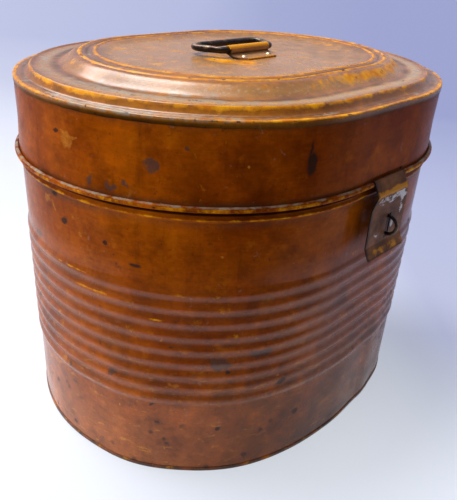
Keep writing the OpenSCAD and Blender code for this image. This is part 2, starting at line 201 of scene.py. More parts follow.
def sweep(profile, cols, move, closed=False, notch=None):
    """Points and faces of a closed profile of (offset, height) along columns.

    move(cx, a, off, z) gives the wandering of a point. A notch is (first column, last
    column, upper profile indices): there only that upper part of the profile is swept.
    """
    n, m = len(profile), len(cols)
    cx, a = cols[:, 0][:, None], cols[:, 1][:, None]
    off, z = profile[:, 0][None, :], profile[:, 1][None, :]
    d_off, d_z = move(cx, a, off, z)
    r = END_R + off + d_off
    pts = np.stack([cx + r * np.cos(a), r * np.sin(a), z + d_z + 0 * r], 2).reshape(-1, 3)
    at = lambda j, i: (j % m) * n + i % n
    faces, part = [], []
    for j in range(m if closed else m - 1):
        cut = notch is not None and notch[0] <= j < notch[1]
        for i in range(n):
            if cut and not (i in notch[2] and (i + 1) % n in notch[2]):
                continue
            faces.append((at(j, i), at(j + 1, i), at(j + 1, i + 1), at(j, i + 1)))
            part.append(i)
        if cut:
            lo, hi = notch[2][0], notch[2][-1]
            faces.append((at(j, hi), at(j + 1, hi), at(j + 1, lo), at(j, lo)))
            part.append(hi)
    if notch is not None:
        rest = list(range(notch[2][-1], notch[2][0] + 1))
        for j in notch[:2]:
            faces.append([at(j, i) for i in rest])
            part.append(rest[0])
    if not closed:
        for j in (0, m - 1):
            faces.append([at(j, i) for i in range(n)])
            part.append(0)
    return pts, faces, np.array(part)


def closed_oval(profile, move):
    """A profile swept all round, its two ends joined across the middle: a dish or plate."""
    cols = all_round()
    pts, faces, part = sweep(profile, cols, move, closed=True)
    n, m = len(profile), len(cols)
    keep = part != n - 1
    faces, part = [f for f, k in zip(faces, keep) if k], part[keep]
    for end in (0, n - 1):
        for j in range(m // 2):
            k, l = (m - j) % m, (m - j - 1) % m
            loop = [j * n + end, (j + 1) * n + end, l * n + end, k * n + end]
            loop = [i for q, i in enumerate(loop) if i != loop[q - 1]]
            if len(loop) > 2:
                faces.append(loop)
                part = np.append(part, end)
    return pts, faces, part, m


def ribbon(path, edges, thickness, steps, hole=None, fade=3.5):
    """A bent strap: path is its inner face as (outwards, up), with the thickness on the left.

    edges(up, k) gives its left and right edge at a point of the path. A hole is (half width,
    low, high, first point of the path it can be at). Gives points as (across, outwards, up),
    faces and a mark that is 1 along the edges and fades out.
    """
    path = np.asarray(path, float)
    step = np.gradient(path, axis=0)
    step /= np.linalg.norm(step, axis=1)[:, None]
    outside = path + thickness * np.stack([-step[:, 1], step[:, 0]], 1)
    rows, n = len(path), steps + 1
    side = np.array([edges(p[1], k) for k, p in enumerate(path)])
    left, right = side[:, :1], side[:, 1:]
    if hole is None:
        xs = left + (right - left) * np.linspace(0, 1, n)
    else:
        ia, ib, half = steps // 2 - 2, steps // 2 + 2, hole[0]
        xs = np.concatenate([
            left + (-half - left) * np.linspace(0, 1, ia + 1)[:-1],
            np.repeat(np.linspace(-half, half, ib - ia + 1)[None, :-1], rows, 0),
            half + (right - half) * np.linspace(0, 1, steps - ib + 1)], 1)
    pts = np.concatenate([
        np.stack([xs, np.repeat(face[:, :1], n, 1), np.repeat(face[:, 1:], n, 1)], 2).reshape(-1, 3)
        for face in (path, outside)])
    at = lambda face, k, i: face * rows * n + k * n + i
    faces = []

    def open_at(k, i):
        if not (0 <= k < rows - 1 and 0 <= i < n - 1):
            return True
        up = (path[k, 1] + path[k + 1, 1]) / 2
        return hole is not None and ia <= i < ib and hole[1] < up < hole[2] and k > hole[3]

    for k in range(rows - 1):
        for i in range(n - 1):
            if open_at(k, i):
                continue
            faces.append((at(0, k, i), at(0, k, i + 1), at(0, k + 1, i + 1), at(0, k + 1, i)))
            faces.append((at(1, k, i), at(1, k + 1, i), at(1, k + 1, i + 1), at(1, k, i + 1)))
            for dk, di, p, q in ((-1, 0, (k, i), (k, i + 1)), (1, 0, (k + 1, i), (k + 1, i + 1)),
                                 (0, -1, (k, i), (k + 1, i)), (0, 1, (k, i + 1), (k + 1, i + 1))):
                if open_at(k + dk, i + di):
                    faces.append((at(0, *p), at(0, *q), at(1, *q), at(1, *p)))
    edge = np.tile((1 - ramp(np.minimum(xs - left, right - xs), 0, fade)).reshape(-1), 2)
    used = np.zeros(len(pts), bool)
    used[[i for f in faces for i in f]] = True
    new = np.cumsum(used) - 1
    return pts[used], [tuple(int(new[i]) for i in f) for f in faces], edge[used]


def fillet(points, radii, steps=6):
    """A flat path with its inner corners rounded."""
    pts = [np.asarray(p, float) for p in points]
    out = [pts[0]]
    for k in range(1, len(pts) - 1):
        u, v = pts[k - 1] - pts[k], pts[k + 1] - pts[k]
        u, v = u / np.linalg.norm(u), v / np.linalg.norm(v)
        half = math.acos(np.clip(u @ v, -1, 1)) / 2
        cut = radii[k - 1] / math.tan(half)
        c = pts[k] + (u + v) / np.linalg.norm(u + v) * radii[k - 1] / math.sin(half)
        p, q = pts[k] + cut * u - c, pts[k] + cut * v - c
        w = math.acos(np.clip(p @ q / radii[k - 1] ** 2, -1, 1))
        out += [c + (math.sin((1 - t) * w) * p + math.sin(t * w) * q) / math.sin(w)
                for t in np.linspace(0, 1, steps + 1)]
    return np.array(out + [pts[-1]])


def dense(path, longest):
    """The same path with points no further apart than this."""
    out = [path[0]]
    for p, q in zip(path[:-1], path[1:]):
        n = max(1, math.ceil(np.linalg.norm(q - p) / longest))
        out += [p + (q - p) * k / n for k in range(1, n + 1)]
    return np.array(out)


def tube(path, radii, side, sides=20, closed=False):
    """A round bar along a flat path. side is the direction square to the path's plane."""
    path, side = np.asarray(path, float), np.asarray(side, float)
    if closed:
        step = np.roll(path, -1, 0) - np.roll(path, 1, 0)
    else:
        step = np.gradient(path, axis=0)
    step /= np.linalg.norm(step, axis=1)[:, None]
    other = np.cross(step, side)
    a = np.linspace(0, 2 * np.pi, sides, endpoint=False)[None, :, None]
    radii = np.broadcast_to(radii, len(path))[:, None, None]
    pts = path[:, None, :] + radii * (np.cos(a) * side + np.sin(a) * other[:, None, :])
    m = len(path)
    faces = []
    for j in range(m if closed else m - 1):
        for i in range(sides):
            k, l = (i + 1) % sides, (j + 1) % m
            faces.append((j * sides + i, j * sides + k, l * sides + k, l * sides + i))
    if not closed:
        faces += [list(range(sides)), list(range((m - 1) * sides, m * sides))]
    return pts.reshape(-1, 3), faces


# Node helpers

class Nodes:
    """The nodes of a material or world: most methods add some and give an output."""

    def __init__(self, owner):
        owner.use_nodes = True
        self.owner, self.tree = owner, owner.node_tree
        self.shader = self.tree.nodes.get("Principled BSDF")

    def feed(self, socket, value):
        if isinstance(value, bpy.types.NodeSocket):
            self.tree.links.new(value, socket)
        else:
            socket.default_value = value

    def put(self, kind, inputs=None, output=0, **settings):
        """A node with these settings, its inputs linked or set."""
        node = self.tree.nodes.new("ShaderNode" + kind)
        for key, value in settings.items():
            setattr(node, key, value)
        for key, value in (inputs or {}).items():
            self.feed(node.inputs[key], value)
        return node.outputs[output]

    def maths(self, op, *values, clamp=False):
        return self.put("Math", dict(enumerate(values)), operation=op, use_clamp=clamp)

    def times(self, a, b):
        return self.maths("MULTIPLY", a, b)

    def plus(self, a, b):
        return self.maths("ADD", a, b)

    def most(self, a, b):
        return self.maths("MAXIMUM", a, b)

    def between(self, value, low, high, out_low=0.0, out_high=1.0):
        """The range from low to high spread over another one, and held at its ends."""
        return self.put("MapRange", clamp=True, inputs={
            "Value": value, "From Min": low, "From Max": high,
            "To Min": out_low, "To Max": out_high})

    def blend(self, factor, a, b, mode="MIX"):
        """Two colours mixed."""
        return self.put("Mix", {0: factor, 6: a, 7: b}, 2, data_type="RGBA", blend_type=mode)

    def place(self):
        return self.put("TexCoord", output="Object")

    def axes(self, vector):
        return tuple(self.put("SeparateXYZ", {"Vector": vector}).node.outputs)

    def reach(self, vector, way):
        """How far a vector goes in a level direction."""
        x, y, _ = self.axes(vector)
        return self.plus(self.times(x, way.x), self.times(y, way.y))

    def mark(self, name):
        """A value that the points of a piece carry."""
        return self.put("Attribute", output="Fac", attribute_name=name)

    def noise(self, where, scale, detail=3.0, rough=0.55, stretch=None, shift=0.0):
        if stretch is not None or shift:
            where = self.put("Mapping", {
                "Vector": where, "Scale": stretch or (1, 1, 1), "Location": (shift, shift, shift)})
        return self.put("TexNoise", {
            "Vector": where, "Scale": scale, "Detail": detail, "Roughness": rough})

    def cells(self, where, scale):
        return self.put("TexVoronoi", {"Vector": where, "Scale": scale})

    def warped(self, where, scale, amount):
        """The place shifted by noise, so that what is drawn from it has ragged edges."""
        drift = self.put("TexNoise", {"Vector": where, "Scale": scale, "Detail": 3}, "Color")
        drift = self.put("VectorMath", {0: drift, 1: (0.5, 0.5, 0.5)}, operation="SUBTRACT")
        return self.put("VectorMath", {0: drift, 1: (amount, amount, amount), 2: where},
                        operation="MULTIPLY_ADD")

    def spots(self, where, spot_list):
        """Mask of listed spots: (x, y, z, half width, half height) in millimetres."""
        total = None
        for x, y, z, w, h in spot_list:
            local = self.put("Mapping", vector_type="TEXTURE", inputs={
                "Vector": where, "Location": (x / 1000, y / 1000, z / 1000),
                "Scale": (w / 1000, w / 1000, h / 1000)})
            away = self.put("VectorMath", {0: local}, "Value", operation="LENGTH")
            one = self.between(away, 1.1, 0.75)
            total = one if total is None else self.most(total, one)
        return total

    def surface(self, colour, rough, relief, strength, depth, **more):
        """Sets the shader's colour, roughness and fine relief. Gives the material."""
        normal = self.put("Bump", {"Height": relief, "Strength": strength, "Distance": depth})
        more.update({"Base Color": colour, "Roughness": rough, "Normal": normal})
        for key, value in more.items():
            self.feed(self.shader.inputs[key], value)
        return self.owner


def tone(r, g, b):
    """A colour as seen on screen, 0 to 255, as the linear value that shaders use."""
    lin = [c / 255 / 12.92 if c <= 10 else ((c / 255 + 0.055) / 1.055) ** 2.4
           for c in (r, g, b)]
    return (*lin, 1.0)


# Materials

def lacquer(name, dark, light, dust_sheen_tone, step, shine, gloss, chips=(), ochre=(), grey=(), pits=0.0):
    """Amber lacquer on tinplate, rubbed to gold, greyed, chipped, dusty and streaked, with painted
    shade and a painted pale sheen.

    shine is its specular level below and above a step in height, gloss the least and most
    roughness, pits the height below which it is pitted. Without pits its dusty layer is gritty.
    Marks on the points say where it is rubbed to gold, where it is grimy and where shade is
    painted in creases, where it is dusty and where a pale reflected sheen is painted, where its
    tin shows and where a pale sheen is painted, and where painted black shade fills the gaps.
    """
    g = Nodes(bpy.data.materials.new(name))
    where = g.place()
    x, _, height = g.axes(where)
    ragged, torn = g.warped(where, 130, 0.006), g.warped(where, 95, 0.016)
    wear_and_highlight, grime_and_shade, dust_and_sheen, bare, gap_shade = map(g.mark, ("wear_and_highlight", "grime_and_shade", "dust_and_sheen", "bare", "gap_shade"))

    # The lacquer itself: cloudy, with paler patches, streaks, brush marks and specks
    cloud = g.noise(where, 34, 5, 0.65, shift=3.1)
    streak = g.noise(where, 150, 4, 0.6, stretch=(1, 1, 0.07))
    fine = g.noise(where, 330, 4, 0.65)
    base = g.blend(g.between(g.noise(where, 9, 5, 0.65), 0.36, 0.64), dark, light)
    base = g.blend(g.between(cloud, 0.5, 0.72, 0, 0.55), base, tone(98, 36, 4))
    pale = g.noise(ragged, 55, 4, 0.6, shift=6.1)
    base = g.blend(g.between(pale, 0.58, 0.7, 0, 0.5), base, tone(184, 98, 6))
    base = g.blend(g.between(streak, 0.55, 0.72, 0, 0.28), base, tone(84, 32, 8))
    brush = g.noise(where, 75, 5, 0.65, stretch=(1, 1, 6), shift=8.8)
    mottle = g.noise(ragged, 48, 6, 0.72, shift=17.3)
    for shade in (g.between(brush, 0.3, 0.7, 0.82, 1.14), g.between(mottle, 0.32, 0.68, 0.66, 1.28),
                  g.between(fine, 0.3, 0.7, 0.86, 1.1)):
        base = g.blend(0.8, base, shade, "MULTIPLY")
    speck = g.between(g.noise(where, 250, 3, 0.7, shift=4.6), 0.63, 0.7)
    base = g.blend(g.times(speck, 0.45), base, tone(62, 34, 20))

    # Dusty layer, which also paints a pale reflected sheen, and grimy marks, which also paint shade
    # in grooves and under folds and beads
    base = g.blend(g.between(dust_and_sheen, 0, 1, 0, 0.6), base, dust_sheen_tone)
    if not pits:
        grit = g.between(g.noise(where, 420, 3, 0.7, shift=24.1), 0.56, 0.66)
        grit = g.times(grit, g.between(dust_and_sheen, 0.1, 0.6, 0, 0.4))
        base = g.blend(grit, base, tone(232, 206, 168))
    grime_shade_mix = g.times(grime_and_shade, g.between(g.noise(where, 60, 4, 0.6, shift=7.7), 0.3, 0.6))
    base = g.blend(grime_shade_mix, base, tone(74, 52, 36))

    # Rubbed to gold, and further to the tin, whose pale grey also paints a sheen on the near side
    # of the lid
    rub_and_highlight = g.between(g.noise(ragged, 75, 5, 0.68, shift=1.7), 0.25, 0.75, -0.55, 0.5)
    rub_and_highlight = g.between(g.plus(wear_and_highlight, rub_and_highlight), 0.32, 0.72)
    gold = g.between(g.noise(where, 90, 4, 0.6, shift=5.2), 0.4, 0.65)
    base = g.blend(rub_and_highlight, base, g.blend(gold, tone(234, 158, 12), tone(196, 112, 4)))
    worn_and_sheen = g.between(g.noise(ragged, 110, 4, 0.65, shift=9.3), 0.3, 0.7, -0.5, 0.35)
    worn_and_sheen = g.between(g.plus(bare, worn_and_sheen), 0.25, 0.65)
    base = g.blend(g.times(worn_and_sheen, 0.85), base, tone(156, 140, 118))

    # Dark nicks, chips and pits, ochre flecks and scratches, grey stains
    nick = g.times(g.between(g.plus(wear_and_highlight, bare), 0.6, 0.8),
                   g.between(g.noise(ragged, 130, 3, 0.65, shift=31.7), 0.59, 0.64))
    chip = g.most(nick, g.between(g.noise(ragged, 58, 3, 0.5, shift=12.4), 0.735, 0.755))
    fleck = g.between(g.noise(ragged, 105, 2, 0.5, shift=20.4), 0.755, 0.775)
    if chips:
        chip = g.most(chip, g.spots(ragged, chips))
    if ochre:
        fleck = g.most(fleck, g.times(g.spots(torn, ochre), 0.7))
    if pits:
        low = g.between(height, pits, 0.06)
        right = g.times(g.between(x, -0.04, 0.06), g.between(height, 0.2, 0.16))
        some = g.between(g.noise(where, 16, 3, 0.6, shift=2.7), 0.44, 0.54)
        some = g.times(some, g.most(low, right))
        dots = g.between(g.cells(ragged, 75.0), 0.25, 0.13, 0, 0.8)
        pinholes = g.between(g.cells(ragged, 150.0), 0.2, 0.12, 0, 0.7)
        chip = g.most(g.most(chip, g.times(dots, some)), g.times(pinholes, right))
        scratch = g.noise(ragged, 55, 4, 0.65, stretch=(1, 1, 4), shift=15.2)
        fleck = g.most(fleck, g.times(g.between(scratch, 0.6, 0.68), low))
        smudge = g.between(g.noise(torn, 36, 6, 0.78, shift=11.9), 0.34, 0.66, 0.62, 1.32)
        base = g.blend(g.times(low, 0.9), base, smudge, "MULTIPLY")
    fleck = g.times(fleck, g.between(fine, 0.35, 0.65, 0.25, 0.75))
    base = g.blend(fleck, base, tone(206, 132, 44))
    if grey:
        base = g.blend(g.times(g.spots(torn, grey), 0.72), base, tone(72, 58, 52))
    base = g.blend(g.times(chip, 0.85), base, tone(42, 30, 24))
    # Painted black shade in the gaps under the rolled edge and the rim's fold
    base = g.blend(gap_shade, base, tone(14, 9, 7))

    specular = g.shader.inputs["Specular IOR Level"]
    specular.default_value = sum(shine) / 2
    if shine[0] != shine[1]:
        level = g.times(g.between(height, *step, *shine), g.maths("SUBTRACT", 1.0, gap_shade))
        level = g.times(level, g.maths("MULTIPLY_ADD", rub_and_highlight, -0.75, 1.0))
        level = g.times(level, g.maths("MULTIPLY_ADD", dust_and_sheen, -0.5, 1.0))
        g.feed(specular, level)
    rough = g.plus(g.between(cloud, 0.3, 0.7, *gloss), g.times(rub_and_highlight, 0.12))
    rough = g.plus(rough, g.times(g.plus(chip, grime_shade_mix), 0.2))
    relief = g.plus(g.times(fine, 0.12), g.times(streak, 0.1))
    relief = g.maths("SUBTRACT", relief, g.times(g.most(chip, worn_and_sheen), 0.4))
    return g.surface(base, rough, relief, 0.3, 0.0004)


def plain_tin(name, light, dark, rust, gloss=0.42, metal=0.75):
    """Dull tinplate with crystal spangle, smears and a little rust."""
    g = Nodes(bpy.data.materials.new(name))
    where = g.place()
    spangle = g.cells(g.warped(where, 40, 0.02), 70.0)
    smear = g.noise(where, 18, 5, 0.65)
    base = g.blend(g.between(spangle, 0.05, 0.6), light, dark)
    base = g.blend(g.between(smear, 0.45, 0.72, 0, 0.7), base, dark)
    base = g.blend(g.between(g.noise(where, 85, 4, 0.6, shift=4.4), 0.62, 0.72), base, rust)
    rough = g.between(smear, 0.3, 0.7, gloss - 0.08, gloss + 0.14)
    return g.surface(base, rough, smear, 0.15, 0.0006, Metallic=metal)


def dark_iron(name):
    """Blackened iron, rubbed bright and a little rusty where it is marked so; on the bail that mark
    also paints a highlight along the top.
    """
    g = Nodes(bpy.data.materials.new(name))
    where = g.place()
    grain = g.noise(where, 130, 5, 0.65)
    base = g.blend(g.between(grain, 0.35, 0.68), tone(26, 21, 20), tone(46, 36, 32))
    rust = g.between(g.noise(where, 90, 3, 0.6, shift=3.3), 0.45, 0.55)
    bright = g.blend(rust, tone(190, 160, 118), tone(120, 66, 26))
    base = g.blend(g.times(g.mark("wear_and_highlight"), g.between(grain, 0.4, 0.55)), base, bright)
    rough = g.between(grain, 0.3, 0.7, 0.24, 0.42)
    return g.surface(base, rough, grain, 0.3, 0.0005, Metallic=0.4)


def hardware(name, dull, dark, gold):
    """Strap tin: mottled, gold where rubbed and where a highlight is painted, scuffed white, and
    near black where shade is painted.
    """
    g = Nodes(bpy.data.materials.new(name))
    where = g.place()
    wear_and_highlight, scuff, painted_shade = map(g.mark, ("wear_and_highlight", "scuff", "painted_shade"))
    ragged = g.warped(where, 240, 0.003)
    cloud = g.noise(where, 70, 5, 0.65)
    patch = g.noise(ragged, 160, 4, 0.6)
    thin = g.noise(ragged, 230, 4, 0.7, stretch=(0.5, 1, 1), shift=2.2)
    base = g.blend(g.between(cloud, 0.36, 0.66), dull, dark)
    base = g.blend(0.7, base, g.between(thin, 0.3, 0.7, 0.7, 1.2), "MULTIPLY")
    rub_and_highlight = g.plus(wear_and_highlight, g.between(patch, 0.3, 0.7, -0.4, 0.35))
    base = g.blend(g.between(rub_and_highlight, 0.35, 0.7), base, gold)
    white = g.plus(scuff, g.between(thin, 0.3, 0.7, -0.5, 0.5))
    base = g.blend(g.between(white, 0.5, 0.72), base, tone(212, 204, 200))
    # Painted shade, near black
    base = g.blend(painted_shade, base, tone(20, 15, 12))
    g.shader.inputs["Specular IOR Level"].default_value = 0.15
    return g.surface(base, g.between(cloud, 0.3, 0.7, 0.42, 0.58), cloud, 0.25, 0.0005)


# Marks of wear that are seen in the photo: (x, y, z, half width, half height)
WALL_CHIPS = (
    (-193, -5, 232, 3.5, 2.9), (-192, -14, 213, 4.2, 3.4), (-184, -52, 207, 3.1, 2.0),
    (-174, -74, 195, 5.0, 2.0), (-128, -127, 107, 2.2, 2.2), (-86, -149, 87, 4.6, 4.6),
    (-67, -154, 46, 5.0, 3.6), (-132, -124, 47, 2.9, 3.6), (26, -156, 197, 6, 15))
WALL_OCHRE = (
    (-193, 4, 224, 3.0, 3.9), (-193, -2, 220, 2.6, 3.4), (-190, -31, 208, 2.2, 2.2),
    (-173, -75, 133, 2.0, 2.0), (-164, -91, 136, 2.0, 2.0), (-159, -98, 93, 4.2, 2.2),
    (-192, 14, 68, 7, 3.4), (-193, -3, 79, 4.6, 2.3))
WALL_GREY = ((-183, -54, 93, 3.8, 3.8), (-132, -124, 115, 8, 5), (-105, -141, 122, 11, 4.5),
             (-190, 28, 187, 8, 4.2))
SKIRT_CHIPS = ((-193, -14, 280, 3.4, 1.8), (-87, -150, 282, 2.0, 7.0), (-85, -150, 272, 4.4, 8.5))
SKIRT_OCHRE = ((-192, -23, 276, 6.5, 6.0), (-193, -18, 279, 4.4, 2.8), (-191, -30, 279, 4.3, 2.1))
SKIRT_GREY = (
    (-188, -43, 253, 3.6, 2.0), (-183, -59, 253, 4.5, 2.6), (-179, -68, 255, 3.5, 2.6),
    (-155, -104, 285, 2.4, 1.8), (-169, -85, 271, 4.6, 6.0), (-143, -116, 264, 2.0, 2.0))
TOP_CHIPS = ((-30, -102, 308, 4.0, 5), (-33, -111, 308, 2.6, 5))

BODY_LACQUER = lacquer(
    "body_lacquer", tone(126, 50, 2), tone(168, 82, 4), tone(184, 124, 80), (0.165, 0.2),
    (0.28, 0.04), (0.16, 0.28), WALL_CHIPS, WALL_OCHRE, WALL_GREY, pits=0.15)
SKIRT_LACQUER = lacquer(
    "skirt_lacquer", tone(120, 46, 2), tone(164, 78, 4), tone(184, 124, 80), (0.1, 0.2),
    (0.02, 0.02), (0.2, 0.32), SKIRT_CHIPS, SKIRT_OCHRE, SKIRT_GREY)
TOP_LACQUER = lacquer(
    "top_lacquer", tone(138, 78, 10), tone(176, 106, 16), tone(206, 164, 110), (0.298, 0.3005),
    (0.03, 0.48), (0.2, 0.32), TOP_CHIPS)
INSIDE_TIN = plain_tin("inside_tin", tone(176, 170, 160), tone(132, 126, 116), tone(120, 78, 44))
IRON = dark_iron("black_iron")
WIRE = plain_tin("edge_wire", tone(120, 112, 104), tone(78, 68, 60), tone(96, 60, 36))
HASP_TIN = hardware("hasp_tin", tone(138, 84, 40), tone(88, 50, 26), tone(208, 134, 12))
CLIP_TIN = hardware("clip_tin", tone(190, 140, 92), tone(150, 104, 64), tone(230, 152, 14))
RIVET_TIN = plain_tin("rivet_tin", tone(226, 204, 172), tone(176, 150, 118), tone(120, 84, 50),
                      0.36, 0.8)

# Body: two ribbed sheets with a stop bead and a wired rim
RIB_LOW, RIB_TOP = RIB_Z - RIB_PITCH / 2, RIB_Z + (RIB_COUNT - 0.5) * RIB_PITCH
STOP_LOW, STOP_TOP = STOP_Z - STOP_H / 2, STOP_Z + STOP_H / 2
# Gold lines on the ribs: (height of the rib, bearing, width in degrees)
RIB_LINES = ((176.4, 190, 44), (164.1, 192, 36), (151.8, 214, 20), (90.3, 218, 14))

wall_z = spaced((SHEET, RIB_LOW, RIB_TOP, STOP_LOW, STOP_TOP), (24, RIB_COUNT * 16, 8, 16))
wall_z = np.append(wall_z, (238.4, 239.0, 241.0, 243.0, 245.0, 250.0))
ribs = sum(bump(wall_z, RIB_Z + i * RIB_PITCH, RIB_PITCH, RIB_D) for i in range(RIB_COUNT))
stop = bump(wall_z, STOP_Z, STOP_H, STOP_D)
rim_c = (-RIM_CURL_R, COLLAR_Z - RIM_CURL_R)
curl_out, curl_in = (ring(rim_c, r, 0, 285, 18) for r in (RIM_CURL_R, RIM_CURL_R - SHEET))
wall = np.concatenate([np.stack([ribs + stop, wall_z], 1), curl_out, curl_in[::-1],
                       np.stack([ribs + stop - SHEET, wall_z], 1)[::-1]])
# On the wall: gold rubbing on the crests; grimy grooves and a line under the stop bead, with
# painted shade in them; a dusty layer low down that also paints a pale reflected sheen; painted
# black shade just above the stop bead, under the lid's rolled edge
wall_marks = {
    "wear_and_highlight": 0.14 * (ribs / RIB_D) ** 2 + 0.54 * (stop / STOP_D) ** 2,
    "grime_and_shade": (0.35 * (1 - ribs / RIB_D) * (ramp(wall_z, 72, 78) - ramp(wall_z, 176, 184))
             + 0.8 * bump(wall_z, STOP_LOW - 0.6, 3)),
    "dust_and_sheen": 0.5 * ramp(wall_z, 110, 20),
    "gap_shade": 0.92 * ramp(wall_z, 237.7, 238.6) * ramp(wall_z, 246, 242)}


def on_wall(cx, a, off, z):
    return wander(cx, a, z, BODY_DENTS) + bowed(cx, a, z), 0 * z


for half in ("front", "back"):
    cols = columns(half)
    pts, faces, part = sweep(wall, cols, on_wall)
    x, y, z = pts.T
    marks = repeated(wall_marks, wall, len(cols))
    # The dusty layer and its painted sheen grow towards the left end, and the low wall away from
    # the left end is darker towards the bottom
    marks["dust_and_sheen"] *= 0.45 + 0.55 * ramp(-x, 90, 170)
    marks["grime_and_shade"] += 0.45 * (marks["dust_and_sheen"] > 0) * ramp(z, 120, 60) * ramp(x, -160, -90)
    for rib_z, bearing, wide in RIB_LINES:
        line = bump(z, rib_z + 1.4, 2.8) * bump(bearing_of(x, y), bearing, wide)
        marks["wear_and_highlight"] += 0.48 * line * (marks["grime_and_shade"] > 0)
    piece(f"{half}_wall", pts, faces, [BODY_LACQUER, INSIDE_TIN], "body", [f"body_{half}_sheet"],
          marks, material_index=(part >= len(wall_z) + len(curl_out)))

# Base plate with its edge turned up round the wall
base_under = [[-END_R + 2, 0.0], [-110, 0.0], [-60, 0.0], [-20, 0.0], [-4, 0.0]]
base_foot = ring((-0.25, 0.9), 0.9, -90, 0, 5)[:-1]
base_edge = [[0.65, 0.9], [0.65, 2.4], [0.65, 3.4], [0.6, 3.75], [0.45, 3.95], [0.2, 4.0]]
base_inside = [[0.05, 3.9], [0.05, 0.62],
               [-4, SHEET], [-60, SHEET], [-110, SHEET], [-END_R + 2, SHEET]]
base = np.concatenate([base_under, base_foot, base_edge, base_inside])
edge_wear = ramp(base[:, 0], -1, 0.4) * 0.9
base_marks = {"wear_and_highlight": 0.3 * edge_wear, "grime_and_shade": 0.6 + 0.4 * edge_wear}


def on_base(cx, a, off, z):
    return (wander(cx, a, z, BODY_DENTS) + bowed(cx, a, z)) * ramp(off, -6, 0), 0 * z


pts, faces, part, count = closed_oval(base, on_base)
piece("base", pts, faces, [BODY_LACQUER, INSIDE_TIN], "body", ["base_plate"],
      repeated(base_marks, base, count), material_index=(part >= len(base) - len(base_inside)))

# Lid skirt: two sheets, their lower edge rolled round the edge wire, notched for hasp and hinge
BEAD_FROM, BEAD_TO, BEAD_STEPS = 180, 485, 30
SKIRT_LOW = 246.0
skirt_z = np.append(np.linspace(RIM_Z - SHEET, NOTCH_TOP + 2, 12), (NOTCH_TOP, 244.5))
n_face, n_bead = len(skirt_z), BEAD_STEPS + 1
bead_out, bead_in = (ring((BEAD_OFF, JOINT_Z), r, BEAD_FROM, BEAD_TO, BEAD_STEPS)
                     for r in (BEAD_R, BEAD_R - SHEET))
skirt = np.concatenate([np.stack([np.full(n_face, SKIRT_IN), skirt_z], 1), bead_out, bead_in[::-1],
                        np.stack([np.full(n_face, SKIRT_OUT), skirt_z], 1)[::-1]])
above_notch = list(range(len(skirt) - n_face + 1, len(skirt))) + list(range(n_face - 1))
bead_turn = np.linspace(BEAD_FROM, BEAD_TO, n_bead)


def skirt_mark(bead, in_bead=0.0, face=0.0):
    """A mark on the rolled edge, inside it and on the outer face of the skirt."""
    none = np.zeros(n_face)
    return np.concatenate([none, bead, np.full(n_bead, in_bead), face + none])


# On the rolled edge: gold rubbing on its outer face; its tin showing and a painted grey sheen on
# top; painted black shade underneath; grimy darkening with painted shade where it meets the skirt,
# inside it, on the skirt just above it and under the rim's fold
skirt_marks = {
    "wear_and_highlight": skirt_mark(0.44 * ramp(bead_turn, 300, 340) * ramp(bead_turn, 410, 385)),
    "bare": skirt_mark(0.54 * ramp(bead_turn, 385, 410) * ramp(bead_turn, 475, 455)),
    "grime_and_shade": skirt_mark(0.9 * ramp(bead_turn, 450, 475), 0.6,
                       (0.8 * ramp(skirt_z, 247, 243.5) + 0.35 * ramp(skirt_z, 291, 296))[::-1]),
    "gap_shade": skirt_mark(0.85 * ramp(bead_turn, 305, 275))}


def on_skirt(cx, a, off, z):
    t = np.clip((z - SKIRT_LOW) / (RIM_Z - SKIRT_LOW), 0, 1)
    push = LEFT_PUSH * left_end(a) * t + EDGE_PUSH * both_ends(a) * (1 - t)
    return wander(cx, a, z, LID_DENTS) - push, 0 * z


for half, notch_x in (("front", HASP_X), ("back", 0.0)):
    sides = (notch_x - NOTCH_HALF, notch_x + NOTCH_HALF)
    cols = columns(half, sides)
    first, last = (j for j, (cx, a) in enumerate(cols) if cx in sides)
    pts, faces, part = sweep(skirt, cols, on_skirt, notch=(first, last, above_notch))
    piece(f"{half}_skirt", pts, faces, [SKIRT_LACQUER, INSIDE_TIN], "lid", [f"lid_{half}_skirt"],
          repeated(skirt_marks, skirt, len(cols)), turn=LID_TURN,
          material_index=(part < n_face - 1))

# Edge wire of the lid, which goes in at the ends as the rolled edge does
cx, a = all_round().T
r = END_R + BEAD_OFF - EDGE_PUSH * both_ends(a)
wire = np.stack([cx + r * np.cos(a), r * np.sin(a), np.full(len(r), JOINT_Z)], 1)
pts, faces = tube(wire, WIRE_R, (0, 0, 1), 16, closed=True)
piece("edge_wire", pts, faces, [WIRE], "lid", ["lid_edge_wire"], turn=LID_TURN)

# Lid top: a pressed panel with an outer bead, a cove and three small beads round the middle.
# Insets from its edge: foot and crest of the bead, the cove, the small beads, rim of the dish
BEAD_FOOT, BEAD_CREST, COVE_LOW, COVE_TOP, DISH_RIM, DISH = 9, 15, 33, 50, 63.8, 75.8
SMALL_BEADS, SMALL_W, SMALL_H = (52.3, 56.9, 61.5), 4.6, 0.9
# Dents of the panel: (x, y, depth, reach)
PANEL_DENTS = ((-70, 30, 0.7, 40), (95, -20, 0.6, 34), (-40, -62, 0.5, 30), (60, 66, 0.7, 36),
               (130, 30, 0.4, 26))
# How far the pushed-in left end moves the forms of the top: insets and millimetres
PUSH_AT, PUSH_BY = (0, 15, 33, 52, 61.5, 80, 120), (LEFT_PUSH, 1.5, 4, 2, 6, 3, 0)
# Rubbed places in front of the clip: (x, y, reach)
RUBBED = ((-40, -10, 9), (-34, -23, 10), (-24, -37, 9))


def top_h(s):
    one, two, three = (bump(s, at, SMALL_W, SMALL_H) for at in SMALL_BEADS)
    return (rise(s, BEAD_FOOT, BEAD_CREST, 4.8) + bump(s, BEAD_CREST, 6, 0.9)
            + rise(s, COVE_LOW, COVE_TOP, 8.4) + one - two + three
            - rise(s, DISH_RIM, DISH, PANEL_DROP))


